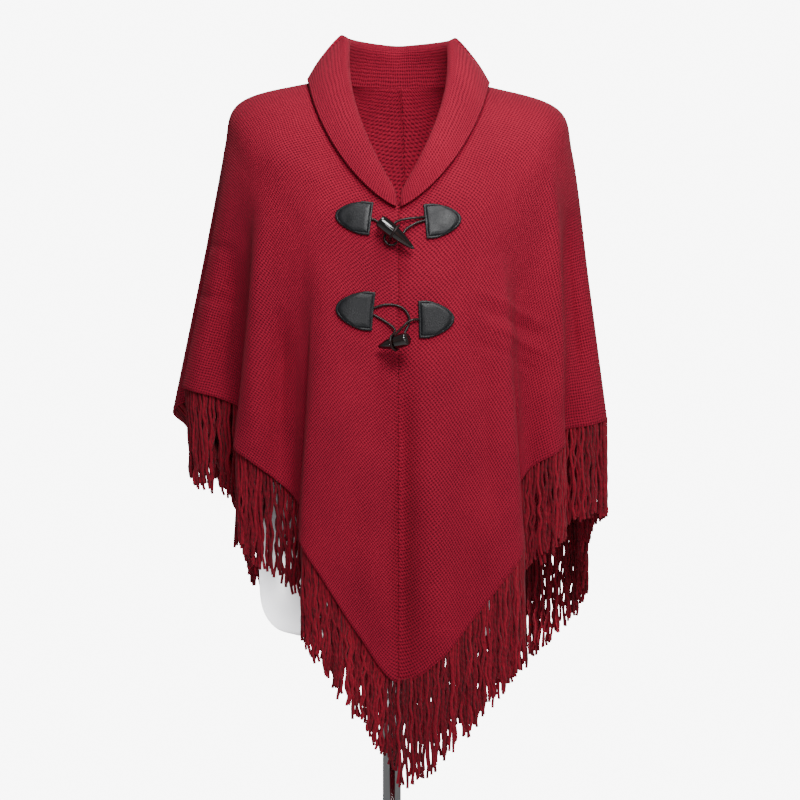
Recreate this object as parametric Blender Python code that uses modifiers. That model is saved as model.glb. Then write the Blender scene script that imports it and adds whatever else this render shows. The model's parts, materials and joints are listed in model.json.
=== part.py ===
"""A knitted V-hem poncho with a shawl collar, toggles and fringe, on a limbless dress form and stand.

Metres, +Z up. The front faces -Y and the wearer's left is +X. The origin is the centre of the
stand's underside, on the floor. Run with: blender --background --python part.py
"""

import math

import bmesh
import bpy
from mathutils import Matrix, Vector
from mathutils.bvhtree import BVHTree

# ---------------------------------------------------------------- driving dimensions

KNIT = 0.0026  # thickness of the knitted cloth
GAP = 0.0003  # between pieces that meet
CLOTH_X = 0.008  # the poncho hangs this far towards the wearer's left of the form's axis
FRINGE_LENGTH = 0.122
FRINGE_THICKNESS = 0.0050

NECK_HALF_WIDTH = 0.088
NECK_SIDE_Z = 1.349  # top of the neck seam, at the side of the neck
NECK_DROP = 0.160  # from there to the foot of the V
NECK_FRONT_Y = -0.128
NECK_BACK_Y = 0.078
NECK_SIDE_Y = 0.004

SHOULDER_HALF_WIDTH = 0.207
CREST = {"half": 0.193, "front": -0.137, "back": 0.104, "front_z": 1.172, "side_z": 1.3165, "back_z": 1.285}
YOKE = {"half": SHOULDER_HALF_WIDTH, "front": -0.147, "back": 0.128, "front_z": 1.112, "side_z": 1.268, "back_z": 1.19}

LEFT_SHOULDER_DROP = 0.007  # the wearer's left shoulder slopes down this much more

COLLAR_STAND = 0.058  # collar: seam to fold at the side of the neck
COLLAR_REACH = 0.020  # collar: how far past the seam its outer edge lies at the side of the neck
COLLAR_LIFT = 0.0065  # collar: its outer edge above the cloth below it

LACE = 0.0029  # leather lace of the closures
TAB_THICKNESS = 0.0022
TOGGLE_RADIUS = 0.0080

POLE_RADIUS = 0.0110
BASE_RADIUS = 0.150
BASE_THICKNESS = 0.008

# The hem in plan, once round from the centre front by the wearer's left and the back: the angle at which
# the drape leaves the yoke, then x, y, z of the hem. Each near-doubling back of the line is a fold.
HEM = (
    (0, 0.000, -0.166, 0.643),
    (9, 0.045, -0.176, 0.668),
    (18, 0.085, -0.174, 0.716),
    (25, 0.118, -0.172, 0.757),
    (30, 0.139, -0.160, 0.784),
    (33, 0.143, -0.140, 0.806),
    (36, 0.133, -0.118, 0.832),
    (40, 0.134, -0.099, 0.858),
    (45, 0.152, -0.094, 0.884),
    (53, 0.180, -0.096, 0.900),
    (59, 0.1935, -0.083, 0.911),
    (64, 0.193, -0.062, 0.918),
    (69, 0.186, -0.044, 0.924),
    (74, 0.198, -0.029, 0.929),
    (80, 0.228, -0.026, 0.934),
    (86, 0.247, -0.010, 0.939),
    (93, 0.249, 0.016, 0.935),
    (99, 0.236, 0.040, 0.916),
    (105, 0.229, 0.066, 0.884),
    (113, 0.233, 0.094, 0.846),
    (121, 0.223, 0.120, 0.816),
    (129, 0.200, 0.118, 0.790),
    (137, 0.172, 0.128, 0.762),
    (147, 0.142, 0.158, 0.726),
    (158, 0.102, 0.166, 0.694),
    (168, 0.066, 0.152, 0.666),
    (178, 0.026, 0.160, 0.645),
    (188, -0.012, 0.176, 0.676),
    (198, -0.050, 0.176, 0.712),
    (208, -0.084, 0.158, 0.744),
    (218, -0.116, 0.150, 0.780),
    (228, -0.150, 0.168, 0.812),
    (237, -0.188, 0.160, 0.846),
    (244, -0.206, 0.132, 0.872),
    (251, -0.228, 0.114, 0.898),
    (257, -0.258, 0.108, 0.928),
    (262, -0.277, 0.088, 0.946),
    (267, -0.270, 0.062, 0.958),
    (272, -0.246, 0.048, 0.966),
    (277, -0.240, 0.028, 0.974),
    (282, -0.252, 0.008, 0.979),
    (287, -0.2575, -0.016, 0.979),
    (292, -0.242, -0.038, 0.974),
    (298, -0.212, -0.042, 0.966),
    (303, -0.186, -0.048, 0.955),
    (306, -0.178, -0.062, 0.940),
    (309, -0.187, -0.080, 0.922),
    (313, -0.190, -0.100, 0.908),
    (319, -0.172, -0.114, 0.894),
    (325, -0.142, -0.110, 0.872),
    (329, -0.118, -0.108, 0.850),
    (331, -0.106, -0.124, 0.831),
    (334, -0.112, -0.146, 0.816),
    (338, -0.110, -0.167, 0.800),
    (344, -0.086, -0.177, 0.762),
    (352, -0.045, -0.172, 0.698),
)
TUCK_PLACE = 36.0  # place in HEM of the right side corner, where the fringe lies tucked under
BACK_SEAM = 26  # place in HEM of the centre back seam, where the left and right panels meet

# The torso: height, half width, reach to the front and reach to the back.
TORSO = (
    (0.684, 0.118, 0.072, 0.078),
    (0.690, 0.137, 0.089, 0.094),
    (0.702, 0.149, 0.099, 0.107),
    (0.720, 0.1565, 0.104, 0.113),
    (0.757, 0.1590, 0.107, 0.118),
    (0.800, 0.1570, 0.106, 0.117),
    (0.860, 0.1440, 0.102, 0.104),
    (0.915, 0.1240, 0.095, 0.088),
    (0.960, 0.1140, 0.091, 0.081),
    (1.005, 0.1190, 0.095, 0.085),
    (1.055, 0.1310, 0.110, 0.092),
    (1.100, 0.1410, 0.126, 0.097),
    (1.135, 0.1460, 0.131, 0.100),
    (1.170, 0.1510, 0.121, 0.102),
    (1.210, 0.1610, 0.102, 0.101),
    (1.252, 0.1780, 0.084, 0.096),
    (1.279, 0.1845, 0.071, 0.086),
    (1.299, 0.1810, 0.058, 0.073),
    (1.316, 0.1590, 0.046, 0.058),
    (1.3295, 0.1250, 0.036, 0.045),
    (1.338, 0.0900, 0.022, 0.030),
)
SCOOP_HALF_WIDTH = 0.062  # the open throat that the form's lift-out neck leaves
SCOOP_FLOOR_Z = 1.150

RED_KNIT = (0.48, 0.012, 0.030, 1.0)
DARK_LEATHER = (0.022, 0.022, 0.026, 1.0)
DARK_HORN = (0.012, 0.007, 0.006, 1.0)
WHITE_FORM = (0.78, 0.78, 0.77, 1.0)
CHROME = (0.62, 0.62, 0.63, 1.0)

# ---------------------------------------------------------------- scene helpers


def clear_scene():
    for obj in list(bpy.data.objects):
        bpy.data.objects.remove(obj, do_unlink=True)


def new_collection(name):
    made = bpy.data.collections.new(name)
    bpy.context.scene.collection.children.link(made)
    return made


def material(name, colour, roughness, metallic=0.0):
    made = bpy.data.materials.new(name)
    made.use_nodes = True
    shader = made.node_tree.nodes["Principled BSDF"]
    shader.inputs["Base Color"].default_value = colour
    shader.inputs["Roughness"].default_value = roughness
    shader.inputs["Metallic"].default_value = metallic
    return made


def add_object(name, data, finish):
    made = bpy.data.objects.new(name, data)
    made.data.materials.append(finish)
    PARTS.objects.link(made)
    return made


def smooth(mesh, angle=40):
    mesh.shade_smooth()
    mesh.set_sharp_from_angle(angle=math.radians(angle))


def grid_mesh(name, columns, rows, place):
    """A grid whose point at (a, b), each from 0 to 1, is moved to place(a, b)."""
    mesh = bpy.data.meshes.new(name)
    bm = bmesh.new()
    bmesh.ops.create_grid(bm, x_segments=columns, y_segments=rows, size=0.5)
    for vertex in bm.verts:
        vertex.co = place(vertex.co.x + 0.5, vertex.co.y + 0.5)
    bm.to_mesh(mesh)
    bm.free()
    return mesh


def cloth_wall(name, columns, rows, place, finish, thickness=KNIT):
    """A sheet of cloth: place() gives its middle, and Solidify its two faces."""
    mesh = grid_mesh(name, columns, rows, place)
    mesh.shade_smooth()
    made = add_object(name, mesh, finish)
    wall = made.modifiers.new("thickness", "SOLIDIFY")
    wall.thickness = thickness
    wall.offset = 0.0
    return made


# ---------------------------------------------------------------- smooth curves


def through(a, b, c, d, t):
    """A point between b and c, t from 0 to 1, on the centripetal Catmull-Rom curve through a, b, c, d."""
    spans = [max((q - p).length, 1e-6) ** 0.5 for p, q in ((a, b), (b, c), (c, d))]
    t0, t1 = 0.0, spans[0]
    t2, t3 = t1 + spans[1], t1 + spans[1] + spans[2]
    at = t1 + t * (t2 - t1)
    ab = a.lerp(b, (at - t0) / (t1 - t0))
    bc = b.lerp(c, (at - t1) / (t2 - t1))
    cd = c.lerp(d, (at - t2) / (t3 - t2))
    abc = ab.lerp(bc, (at - t0) / (t2 - t0))
    bcd = bc.lerp(cd, (at - t1) / (t3 - t1))
    return abc.lerp(bcd, (at - t1) / (t2 - t1))


def open_curve(points, share):
    """The point at share, 0 to 1, of the smooth curve through the points, by number of points."""
    ends = [points[0] * 2 - points[1], *points, points[-1] * 2 - points[-2]]
    at = min(share, 1.0) * (len(points) - 1)
    i = min(int(at), len(points) - 2)
    return through(*ends[i : i + 4], at - i)


def hem_at(place):
    """(angle in degrees, point) of the hem at a place in HEM, which goes round and round."""
    count = len(HEM)
    i = math.floor(place)
    around = [HEM[(i + k) % count] for k in (-1, 0, 1, 2)]
    turns = [(i + k) // count * 360 for k in (-1, 0, 1, 2)]
    points = [Vector(row[1:]) for row in around]
    angles = [Vector((row[0] + turn, 0, 0)) for row, turn in zip(around, turns)]
    t = place - i
    return through(*angles, t).x, through(*points, t)


# ---------------------------------------------------------------- the drape


def slope(a):
    """How much lower the wearer's left shoulder lies, at angle a."""
    return LEFT_SHOULDER_DROP * max(math.sin(a), 0.0) ** 2


def mixed(front, side, back, a):
    """A height that is front at 0 degrees, side at 90 and back at 180."""
    end = front if math.cos(a) > 0 else back
    return end + (side - end) * math.sin(a) ** 2


def ring_point(ring, a):
    reach = ring["front"] if math.cos(a) > 0 else ring["back"]
    return Vector(
        (
            ring["half"] * math.sin(a),
            abs(math.cos(a)) * reach,
            mixed(ring["front_z"], ring["side_z"], ring["back_z"], a) - slope(a),
        )
    )


def neck_point(a):
    """The neck seam: a V in front, round behind."""
    x, level, ahead = NECK_HALF_WIDTH * math.sin(a), NECK_SIDE_Z - slope(a) * 0.5, abs(math.cos(a))
    if math.cos(a) > 0:
        y = NECK_SIDE_Y + (NECK_FRONT_Y - NECK_SIDE_Y) * ahead**1.3
        return Vector((x, y, level - NECK_DROP * (1 - abs(math.sin(a))) ** 0.9))
    y = NECK_SIDE_Y + (NECK_BACK_Y - NECK_SIDE_Y) * ahead
    return Vector((x, y, level - 0.001 * ahead**2))


def meridian(angle, hem):
    """The line that the cloth follows from the neck seam over the shoulder and down to the hem."""
    a = math.radians(angle)
    crest, yoke = ring_point(CREST, a), ring_point(YOKE, a)
    bulge = 0.5 + 0.22 * math.cos(a) ** 2
    middle = Vector(
        (
            yoke.x + (hem.x - yoke.x) * 0.5,
            yoke.y + (hem.y - yoke.y) * bulge,
            (yoke.z + hem.z) / 2,
        )
    )
    return [neck_point(a), crest, yoke, middle, hem]


def drape(place, down):
    """The middle of the cloth at a place in HEM and at down, from 0 at the neck to 1 at the hem."""
    angle, hem = hem_at(place)
    point = open_curve(meridian(angle, hem), down)
    return point + Vector((CLOTH_X, 0, 0))


def below_neck(a, distance):
    """The cloth's middle at angle a, that far below the neck seam, and its outward normal."""
    crest, neck = ring_point(CREST, a), neck_point(a)
    point = neck + (crest - neck).normalized() * distance
    along = neck_point(a + 0.01) - neck_point(a - 0.01)
    normal = (crest - neck).cross(along).normalized()
    return point, normal if normal.z > 0 else -normal


def make_panel(name, first, last, rows=14):
    """One knitted panel, over one shoulder from the centre front seam to the centre back seam."""
    apart = Vector((0.0005 if first == 0 else -0.0005, 0, 0))

    def place(a, b):
        return drape(first + a * (last - first), b) + apart

    columns = int(round((last - first) * 2))
    return cloth_wall(name, columns, rows, place, KNIT_FINISH)


def tuck(place):
    """How far the fringe is tucked under: it is, from 0 to 1, about the right side corner of the hem."""
    return math.exp(-(((place - TUCK_PLACE) / (2.4 if place < TUCK_PLACE else 3.3)) ** 2))


def fall_line(place):
    """Which way the fringe hangs."""
    return Vector((0.66 * tuck(place), -0.36 * tuck(place), -1 + 0.30 * tuck(place))).normalized()


def make_fringe(name, first, last):
    """A plain wall of the fringe's reach, hanging from the hem."""
    seam = 0.05

    def place(a, b):
        at = first + seam + a * (last - first - 2 * seam)
        _, hem = hem_at(at)
        top = hem + Vector((CLOTH_X, 0, -0.0026 - 0.0040 * tuck(at)))
        return top + fall_line(at) * b * (FRINGE_LENGTH - 0.0026)

    columns = int(round((last - first) * 2))
    return cloth_wall(name, columns, 1, place, KNIT_FINISH, FRINGE_THICKNESS)


# ---------------------------------------------------------------- collar


def collar_section(a):
    """Points across the collar at angle a: up its stand, over the fold, and down its fall."""
    neck = neck_point(a)
    ahead = math.cos(a) > 0
    aside = abs(math.sin(a)) if ahead else math.sqrt(math.sin(a) ** 2 + 0.01) / math.sqrt(1.01)
    if ahead:
        rise = 0.009 + (COLLAR_STAND - 0.009) * aside**2.0
        reach = 0.009 + (COLLAR_REACH - 0.009) * aside + 0.060 * aside * (1 - aside)
    else:
        rise = 0.050 + (COLLAR_STAND - 0.050) * aside
        reach = COLLAR_REACH + 0.016 * (1 - aside)
    out = Vector((neck.x, neck.y - 0.01, 0)).normalized()
    up = (Vector((0, 0, 0.88)) - out * 0.47 * aside**0.5 * (1 if ahead else 0.8)).normalized()
    round_over = min(0.0055, 0.36 * rise)
    edge, normal = below_neck(a, reach)
    edge = edge + normal * COLLAR_LIFT
    top = neck + up * rise
    return [
        neck + up * (KNIT * 0.5 + GAP * 3),
        neck + up * rise * 0.5 - out * round_over * 0.4,
        top - Vector((0, 0, round_over)) - out * round_over * 0.3,
        top + out * round_over * 0.5,
        top + out * round_over * 1.5 - Vector((0, 0, round_over * 0.7)),
        top.lerp(edge, 0.62) + (out + normal).normalized() * round_over * 0.7,
        edge,
    ]


def make_collar():
    """A shawl collar: one folded band from the foot of the V, round the neck, and back."""
    open_at_front = math.radians(2.2)

    def place(a, b):
        turn = open_at_front + a * (2 * math.pi - 2 * open_at_front)
        return open_curve(collar_section(turn), b) + Vector((CLOTH_X, 0, 0))

    return cloth_wall("collar", 40, 11, place, KNIT_FINISH)


# ---------------------------------------------------------------- closures


def cloth_front(objects):
    """A lookup for the outer face of the given cloth: (x, z) to the point that faces -Y, and its normal."""
    bpy.context.view_layer.update()
    graph = bpy.context.evaluated_depsgraph_get()
    trees = [BVHTree.FromObject(obj, graph) for obj in objects]

    def look(x, z):
        hits = [tree.ray_cast(Vector((x, -1, z)), Vector((0, 1, 0))) for tree in trees]
        near = min((hit for hit in hits if hit[0]), key=lambda hit: hit[0].y)
        return near[0]

    return look


def on_cloth(look, x, z, lift):
    """The point in front of the cloth at poncho coordinates (x, z), lifted off it towards the viewer."""
    point = look(x + CLOTH_X, z)
    return Vector((point.x, point.y - lift, z))


def make_tab(name, look, x, z, side, tilt, length, height):
    """A D-shaped leather tab. (x, z) is the middle of its straight edge, which faces the centre front."""
    lean = math.radians(tilt)

    def place(a, b):
        across = (b - 0.5) * 2
        shoulder = 0.16 * length
        nose = shoulder + (length - shoulder) * max(1 - abs(across) ** 1.9, 0.0) ** 0.70
        along, up = a * nose, across * height / 2
        px = x + side * (along * math.cos(lean) - up * math.sin(lean))
        pz = z + along * math.sin(lean) + up * math.cos(lean)
        return on_cloth(look, px, pz, GAP + TAB_THICKNESS / 2 + 0.0006)

    made = cloth_wall(name, 6, 12, place, LEATHER_FINISH, TAB_THICKNESS)
    return made


def make_lace(name, points):
    """A round leather lace along the smooth line through the points."""
    count = (len(points) - 1) * 4 + 1
    curve = bpy.data.curves.new(name, "CURVE")
    curve.dimensions = "3D"
    curve.bevel_depth = LACE / 2
    curve.bevel_resolution = 1
    curve.use_fill_caps = True
    spline = curve.splines.new("POLY")
    spline.points.add(count - 1)
    for i, point in enumerate(spline.points):
        point.co = (*open_curve(points, i / (count - 1)), 1.0)
    return add_object(name, curve, LEATHER_FINISH)


TOGGLE_PROFILE = (
    (0.0, 0.80),
    (0.03, 0.92),
    (0.15, 1.0),
    (0.38, 0.97),
    (0.62, 0.76),
    (0.82, 0.48),
    (0.95, 0.22),
    (1.0, 0.0),
)


def toggle_radius(share):
    """The toggle's radius, share of the way from its thick end to its tip."""
    for (s0, r0), (s1, r1) in zip(TOGGLE_PROFILE, TOGGLE_PROFILE[1:]):
        if share <= s1:
            return TOGGLE_RADIUS * (r0 + (r1 - r0) * (share - s0) / (s1 - s0))
    return 0.0


def beside_toggle(ends, share, turn):
    """Where a lace's middle goes to lie against the toggle: turn is 0 in front, 90 above and 180 behind."""
    thick_end, tip = ends
    axis = (tip - thick_end).normalized()
    above = axis.cross(Vector((0, 1, 0))).normalized()
    above = above if above.z > 0 else -above
    ahead = axis.cross(above).normalized()
    ahead = ahead if ahead.y < 0 else -ahead
    t = math.radians(turn)
    reach = toggle_radius(share) + LACE / 2 + GAP * 3
    return thick_end.lerp(tip, share) + (ahead * math.cos(t) + above * math.sin(t)) * reach


def make_toggle(name, ends):
    """A horn toggle from its blunt end to its tip: a turned profile."""
    thick_end, tip = ends
    length = (tip - thick_end).length
    mesh = bpy.data.meshes.new(name)
    bm = bmesh.new()
    profile = [(0.0, 0.0), *TOGGLE_PROFILE]
    points = [bm.verts.new((r * TOGGLE_RADIUS, 0, (1 - s) * length)) for s, r in profile]
    for a, b in zip(points, points[1:]):
        bm.edges.new((a, b))
    bm.to_mesh(mesh)
    bm.free()
    made = add_object(name, mesh, HORN_FINISH)
    turn = made.modifiers.new("turned", "SCREW")
    turn.steps = turn.render_steps = 16
    turn.use_merge_vertices = True
    turn.merge_threshold = 0.00005
    made.matrix_world = Matrix.Translation(tip) @ (thick_end - tip).to_track_quat("Z", "Y").to_matrix().to_4x4()
    return made


def make_upper_closure(look):
    def at(x, z, lift):
        return on_cloth(look, x, z, lift)

    ends = at(-0.0215, 1.1690, 0.0177), at(0.0182, 1.1358, 0.0139)
    make_toggle("toggle_upper", ends)
    wrap = [beside_toggle(ends, 0.390 + 0.060 * i / 7, 190 - 45 * i) for i in range(8)]
    make_lace(
        "lace_upper_right",
        [
            at(-0.0300, 1.1722, 0.0021),
            at(-0.0240, 1.1686, 0.0021),
            at(-0.0170, 1.1640, 0.0021),
            at(-0.0105, 1.1592, 0.0023),
            *wrap,
        ],
    )
    make_lace(
        "lace_upper_left",
        [
            at(0.0293, 1.1700, 0.0020),
            at(0.0200, 1.1664, 0.0036),
            at(0.0085, 1.1590, 0.0052),
            beside_toggle(ends, 0.590, 180),
            at(-0.0065, 1.1412, 0.0056),
            at(-0.0130, 1.1430, 0.0056),
            at(-0.0160, 1.1495, 0.0056),
            beside_toggle(ends, 0.270, 180),
            at(-0.0020, 1.1680, 0.0066),
            at(0.0085, 1.1712, 0.0062),
            at(0.0200, 1.1726, 0.0050),
            at(0.0293, 1.1742, 0.0022),
        ],
    )


def make_lower_closure(look):
    def at(x, z, lift):
        return on_cloth(look, x, z, lift)

    ends = at(0.0105, 1.0331, 0.0340), at(-0.0233, 1.0245, 0.0100)
    make_toggle("toggle_lower", ends)
    wrap = [beside_toggle(ends, 0.400 + 0.075 * i / 6, 110 - 45 * i) for i in range(7)]
    make_lace(
        "lace_lower_left",
        [
            at(0.0218, 1.0562, 0.0026),
            at(0.0165, 1.0556, 0.0054),
            at(0.0105, 1.0528, 0.0070),
            at(0.0045, 1.0470, 0.0130),
            *wrap,
        ],
    )
    make_lace(
        "lace_lower_right",
        [
            at(-0.0268, 1.0690, 0.0020),
            at(-0.0153, 1.0729, 0.0020),
            at(-0.0010, 1.0717, 0.0020),
            at(0.0070, 1.0672, 0.0020),
            at(0.0118, 1.0595, 0.0020),
            at(0.0118, 1.0510, 0.0020),
            at(0.0080, 1.0425, 0.0040),
            at(0.0040, 1.0345, 0.0070),
            at(-0.0030, 1.0310, 0.0070),
            at(-0.0065, 1.0365, 0.0050),
            at(-0.0040, 1.0440, 0.0046),
            at(-0.0085, 1.0490, 0.0030),
            at(-0.0153, 1.0540, 0.0020),
            at(-0.0268, 1.0615, 0.0020),
        ],
    )


# ---------------------------------------------------------------- dress form and stand


def make_torso():
    """A limbless torso, lofted through level sections, with an open throat where its neck lifts out."""
    around = 36

    def place(a, b):
        at = b * (len(TORSO) - 1)
        z, half, front, back = open_curve_rows(TORSO, at)
        turn = a * 2 * math.pi
        reach = front if math.cos(turn) > 0 else back
        return Vector((half * math.sin(turn), -math.cos(turn) * reach, z))

    mesh = grid_mesh("form_torso", around, (len(TORSO) - 1) * 2, place)
    bm = bmesh.new()
    bm.from_mesh(mesh)
    bmesh.ops.remove_doubles(bm, verts=bm.verts, dist=0.00005)
    bmesh.ops.holes_fill(bm, edges=[edge for edge in bm.edges if edge.is_boundary])
    bmesh.ops.recalc_face_normals(bm, faces=bm.faces)
    bm.to_mesh(mesh)
    bm.free()
    smooth(mesh)
    torso = add_object("form_torso", mesh, FORM_FINISH)
    cut = torso.modifiers.new("throat", "BOOLEAN")
    cut.operation = "DIFFERENCE"
    cut.object = make_scoop()
    return torso


def open_curve_rows(rows, at):
    """The four numbers of a table of sections at a place between its rows."""
    share = at / (len(rows) - 1)
    first = open_curve([Vector((row[0], row[1], 0)) for row in rows], share)
    last = open_curve([Vector((row[2], row[3], 0)) for row in rows], share)
    return first.x, first.y, last.x, last.y


def make_scoop():
    """The cutter for the throat: a round-bottomed slot from front to back."""
    curve = bpy.data.curves.new("throat_outline", "CURVE")
    curve.dimensions = "2D"
    curve.fill_mode = "BOTH"
    curve.extrude = 0.25
    spline = curve.splines.new("POLY")
    arc = [math.radians(180 + 15 * i) for i in range(13)]
    centre = SCOOP_FLOOR_Z + SCOOP_HALF_WIDTH
    outline = [(SCOOP_HALF_WIDTH * math.cos(t), centre + SCOOP_HALF_WIDTH * math.sin(t)) for t in arc]
    outline += [(SCOOP_HALF_WIDTH, 1.45), (-SCOOP_HALF_WIDTH, 1.45)]
    spline.points.add(len(outline) - 1)
    for point, (x, z) in zip(spline.points, outline):
        point.co = (x, z, 0, 1)
    spline.use_cyclic_u = True
    shape = bpy.data.objects.new("throat_outline", curve)
    CUTTERS.objects.link(shape)
    shape.rotation_euler = (math.pi / 2, 0, 0)
    bpy.context.view_layer.update()
    graph = bpy.context.evaluated_depsgraph_get()
    mesh = bpy.data.meshes.new_from_object(shape.evaluated_get(graph))
    bm = bmesh.new()
    bm.from_mesh(mesh)
    bmesh.ops.remove_doubles(bm, verts=bm.verts, dist=0.00001)
    bmesh.ops.recalc_face_normals(bm, faces=bm.faces)
    bm.to_mesh(mesh)
    bm.free()
    cutter = bpy.data.objects.new("throat_cutter", mesh)
    cutter.matrix_world = shape.matrix_world
    CUTTERS.objects.link(cutter)
    bpy.data.objects.remove(shape)
    cutter.hide_render = True
    cutter.display_type = "WIRE"
    return cutter


def make_round(name, radius, bottom, top, finish, bevel=0.0, sides=40):
    """An upright cylinder, with its rims rounded if bevel is given."""
    mesh = bpy.data.meshes.new(name)
    bm = bmesh.new()
    bmesh.ops.create_cone(
        bm, cap_ends=True, segments=sides, radius1=radius, radius2=radius, depth=top - bottom
    )
    bm.to_mesh(mesh)
    bm.free()
    smooth(mesh)
    made = add_object(name, mesh, finish)
    made.location = (0, 0, (bottom + top) / 2)
    if bevel:
        rim = made.modifiers.new("rim", "BEVEL")
        rim.width = bevel
        rim.segments = 2
        rim.limit_method = "ANGLE"
    return made


def make_stand():
    boss_top = BASE_THICKNESS + 0.022
    socket_bottom = TORSO[0][0] - 0.045
    flange_bottom = TORSO[0][0] - 0.007
    make_round("stand_base", BASE_RADIUS, 0.0, BASE_THICKNESS, CHROME_FINISH, bevel=0.0015, sides=64)
    make_round("stand_boss", 0.024, BASE_THICKNESS + GAP, boss_top, CHROME_FINISH, bevel=0.001)
    make_round("stand_pole", POLE_RADIUS, boss_top + GAP, socket_bottom - GAP, CHROME_FINISH)
    make_round("form_socket", 0.0155, socket_bottom, flange_bottom - GAP, CHROME_FINISH, bevel=0.001)
    make_round("form_flange", 0.045, flange_bottom, TORSO[0][0] - GAP, CHROME_FINISH, bevel=0.001)


# ---------------------------------------------------------------- the whole part

clear_scene()
PARTS = new_collection("poncho_on_dress_form")
CUTTERS = new_collection("cutters")
KNIT_FINISH = material("red_knit", RED_KNIT, 0.9)
LEATHER_FINISH = material("dark_leather", DARK_LEATHER, 0.45)
HORN_FINISH = material("dark_horn", DARK_HORN, 0.25)
FORM_FINISH = material("white_form", WHITE_FORM, 0.35)
CHROME_FINISH = material("chrome", CHROME, 0.15, metallic=1.0)

panel_left = make_panel("panel_left", 0, BACK_SEAM)
panel_right = make_panel("panel_right", BACK_SEAM, len(HEM))
make_fringe("fringe_front_left", 0, 15)
make_fringe("fringe_back_left", 15, BACK_SEAM)
make_fringe("fringe_back_right", BACK_SEAM, 40)
make_fringe("fringe_front_right", 40, len(HEM))
make_collar()

front = cloth_front([panel_left, panel_right])
make_tab("tab_upper_right", front, -0.0313, 1.1718, -1, 7.0, length=0.0410, height=0.0375)
make_tab("tab_upper_left", front, 0.0309, 1.1686, 1, 5.5, length=0.0410, height=0.0392)
make_tab("tab_lower_right", front, -0.0287, 1.0650, -1, 5.5, length=0.0425, height=0.0435)
make_tab("tab_lower_left", front, 0.0236, 1.0560, 1, 1.5, length=0.0398, height=0.0415)
make_upper_closure(front)
make_lower_closure(front)

make_torso()
make_stand()
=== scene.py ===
# %% [markdown]
# # A shawl-collar poncho on a dress form
#
# This lesson dresses a plain, measured model of a knitted poncho in its real surfaces. The garment is two
# straight knitted strips, one over each shoulder. Each strip is cut off at 45 degrees at both ends, and the
# cut ends are sewn together down the centre front and the centre back, so the hem hangs in two points. A
# folded band makes the shawl collar, two toggles close the front, and a yarn fringe is knotted into the hem.
#
# The measured model is loaded first and never changed. Every piece below is built over it in metres, with
# +Z up, the garment's front facing -Y and the wearer's left at +X.

# %% Load the measured model
import json
import math
import random

import bmesh
import bpy
import numpy as np
from mathutils import Matrix, Vector
from mathutils.bvhtree import BVHTree

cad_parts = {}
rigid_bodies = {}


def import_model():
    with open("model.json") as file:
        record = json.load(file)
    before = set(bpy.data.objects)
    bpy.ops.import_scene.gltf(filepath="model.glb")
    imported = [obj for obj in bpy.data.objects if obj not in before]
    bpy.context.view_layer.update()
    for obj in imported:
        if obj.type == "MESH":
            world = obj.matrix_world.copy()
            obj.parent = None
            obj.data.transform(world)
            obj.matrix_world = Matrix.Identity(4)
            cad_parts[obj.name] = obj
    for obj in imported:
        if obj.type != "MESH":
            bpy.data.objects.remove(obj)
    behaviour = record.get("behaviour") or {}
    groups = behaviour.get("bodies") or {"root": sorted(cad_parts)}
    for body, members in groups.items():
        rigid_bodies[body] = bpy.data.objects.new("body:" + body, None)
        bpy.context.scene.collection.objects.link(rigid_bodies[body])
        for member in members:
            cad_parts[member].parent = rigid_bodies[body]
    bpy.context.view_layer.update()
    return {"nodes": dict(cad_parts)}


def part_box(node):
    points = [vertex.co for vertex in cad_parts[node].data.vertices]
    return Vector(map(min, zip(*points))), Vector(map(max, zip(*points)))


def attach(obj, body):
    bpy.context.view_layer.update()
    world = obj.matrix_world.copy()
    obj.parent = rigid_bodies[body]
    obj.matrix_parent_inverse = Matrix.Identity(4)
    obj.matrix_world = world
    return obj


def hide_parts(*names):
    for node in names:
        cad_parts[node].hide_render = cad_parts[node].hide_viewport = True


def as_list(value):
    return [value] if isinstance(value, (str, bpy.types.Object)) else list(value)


for old in list(bpy.data.objects):
    bpy.data.objects.remove(old, do_unlink=True)
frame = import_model()
random.seed(7)
print("pieces in the measured model:", len(frame["nodes"]))

# %% [markdown]
# ## Camera
#
# A garment on a stand is usually shown level, from a few metres away with a long lens, so that its sides
# don't splay. A 112.5 mm lens at 3 m takes in 0.96 m of the garment, from above the collar to below the
# fringe.


# %% Camera
def add_object(name, data):
    """A new object in the scene, made of that mesh, curve, lamp or camera."""
    made = bpy.data.objects.new(name, data)
    bpy.context.scene.collection.objects.link(made)
    return made


camera = add_object("camera", bpy.data.cameras.new("camera"))
camera.location = (0.0098, -3.0, 0.9644)
camera.rotation_euler = (math.radians(90), 0, 0)
camera.data.lens = 112.5
camera.data.sensor_width = 36
bpy.context.scene.camera = camera

# %% [markdown]
# ## Colours and node helpers
#
# Colours are easiest to pick as the hex values that a paint program shows. Those are sRGB, and a shader
# wants linear light, so one function converts them. A second function adds one node to a material, with its
# settings and its links, and it is all that the materials below need.


# %% Colour and node helpers
def linear(code):
    """An sRGB hex colour such as "a81f35" as linear red, green, blue and alpha."""
    levels = [int(code[i : i + 2], 16) / 255 for i in (0, 2, 4)]
    return (*(v / 12.92 if v <= 0.04045 else ((v + 0.055) / 1.055) ** 2.4 for v in levels), 1.0)


def add_node(tree, kind, settings=None, **inputs):
    """A node with its own settings. Each input, by its name or _number, takes a value or a link."""
    made = tree.nodes.new(kind)
    for name, value in (settings or {}).items():
        setattr(made, name, value)
    for name, value in inputs.items():
        key = int(name[1:]) if name[0] == "_" else name.replace("_", " ")
        if isinstance(value, bpy.types.NodeSocket):
            tree.links.new(value, made.inputs[key])
        else:
            made.inputs[key].default_value = value
    return made


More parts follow.
